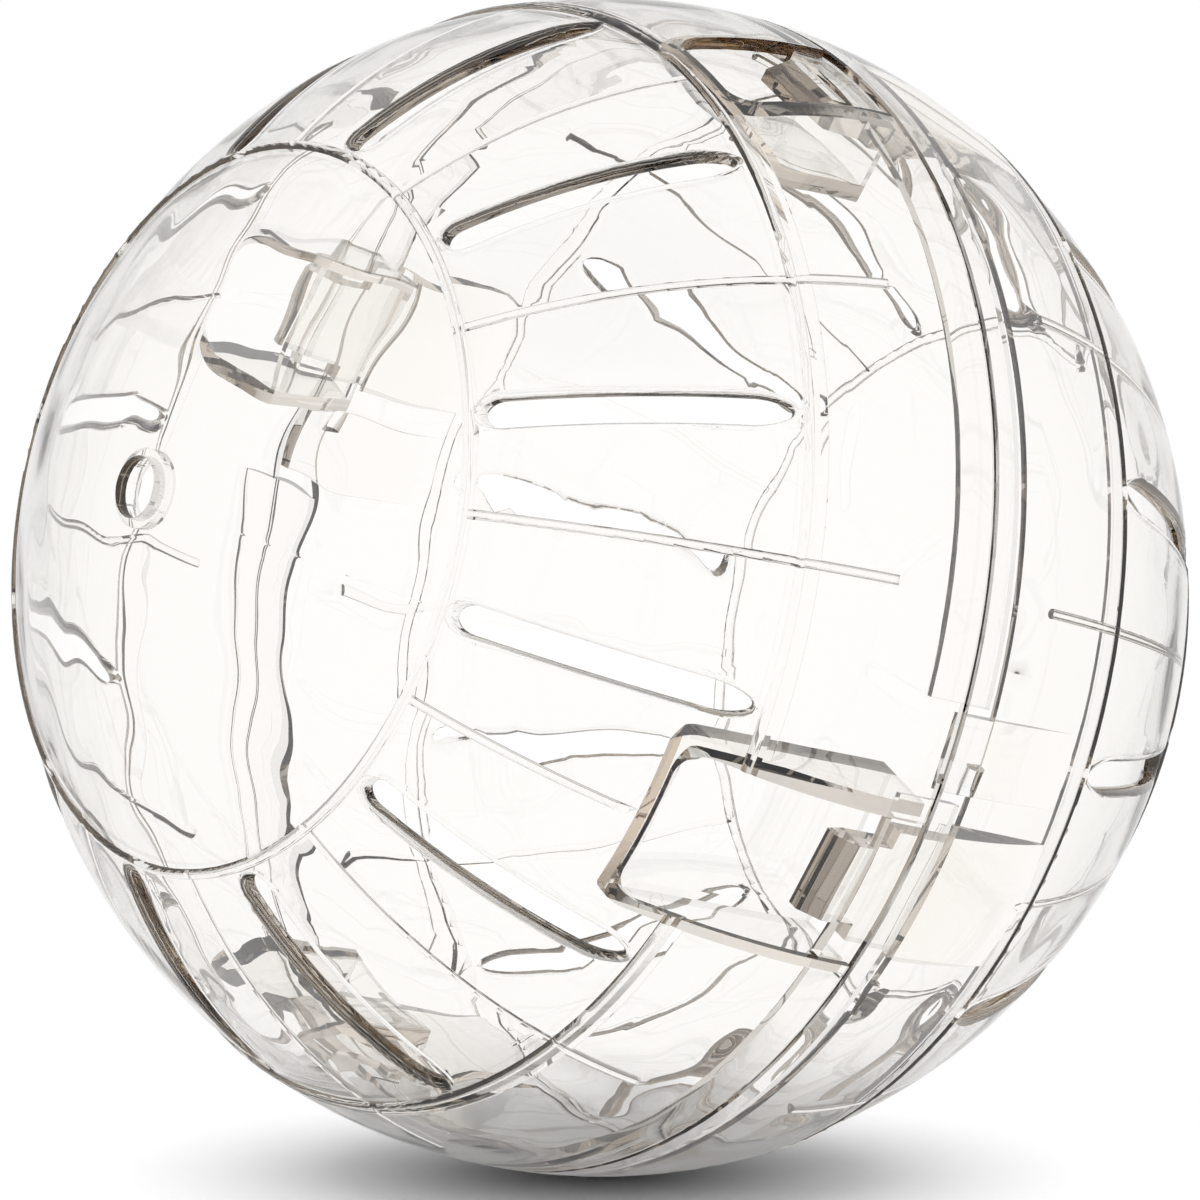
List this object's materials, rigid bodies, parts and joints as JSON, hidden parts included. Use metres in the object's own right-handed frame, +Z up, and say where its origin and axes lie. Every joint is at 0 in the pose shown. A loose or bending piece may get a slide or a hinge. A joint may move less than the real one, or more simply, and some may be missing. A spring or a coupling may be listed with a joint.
{
  "type": "hamster ball",
  "caption": "Clear hollow exercise ball for a small rodent, in two domed halves that slide together at the seam and latch with press hooks in finger pockets; air slots ring each pole.",
  "frame": {"origin": "centre of the ball, on the seam plane", "axes": "Y along the pole axis with the front half's pole at -Y, X to the right of that pole, +Z up"},
  "size_m": [0.14, 0.1391, 0.14],
  "materials": {
    "clear_polystyrene": "polished clear moulding"
  },
  "bodies": {
    "front": {"front_half": "clear_polystyrene"},
    "rear": {"rear_half": "clear_polystyrene"},
    "hook_right": {"latch_hook_right": "clear_polystyrene"},
    "hook_left": {"latch_hook_left": "clear_polystyrene"},
    "hook_top": {"latch_hook_top": "clear_polystyrene"},
    "hook_bottom": {"latch_hook_bottom": "clear_polystyrene"}
  },
  "joints": [
    {"name": "halves_apart", "type": "slide", "parent": "front", "child": "rear", "axis": [0, 1, 0], "range_m": [0, 0.09], "deforming": ["latch_hook_right", "latch_hook_left", "latch_hook_top", "latch_hook_bottom"]},
    {"name": "right_hook_press", "type": "hinge", "parent": "rear", "child": "hook_right", "pos_m": [0.06322, 0.005, -0.01694], "axis": [-0.2588, 0, -0.9659], "range_deg": [0, 9], "stiffness_Nm_per_rad": 0.7},
    {"name": "left_hook_press", "type": "hinge", "parent": "rear", "child": "hook_left", "pos_m": [-0.06322, 0.005, 0.01694], "axis": [0.2588, 0, 0.9659], "range_deg": [0, 9], "stiffness_Nm_per_rad": 0.7},
    {"name": "top_hook_press", "type": "hinge", "parent": "rear", "child": "hook_top", "pos_m": [0.01694, 0.005, 0.06322], "axis": [0.9659, 0, -0.2588], "range_deg": [0, 9], "stiffness_Nm_per_rad": 0.7},
    {"name": "bottom_hook_press", "type": "hinge", "parent": "rear", "child": "hook_bottom", "pos_m": [-0.01694, 0.005, -0.06322], "axis": [-0.9659, 0, 0.2588], "range_deg": [0, 9], "stiffness_Nm_per_rad": 0.7}
  ]
}
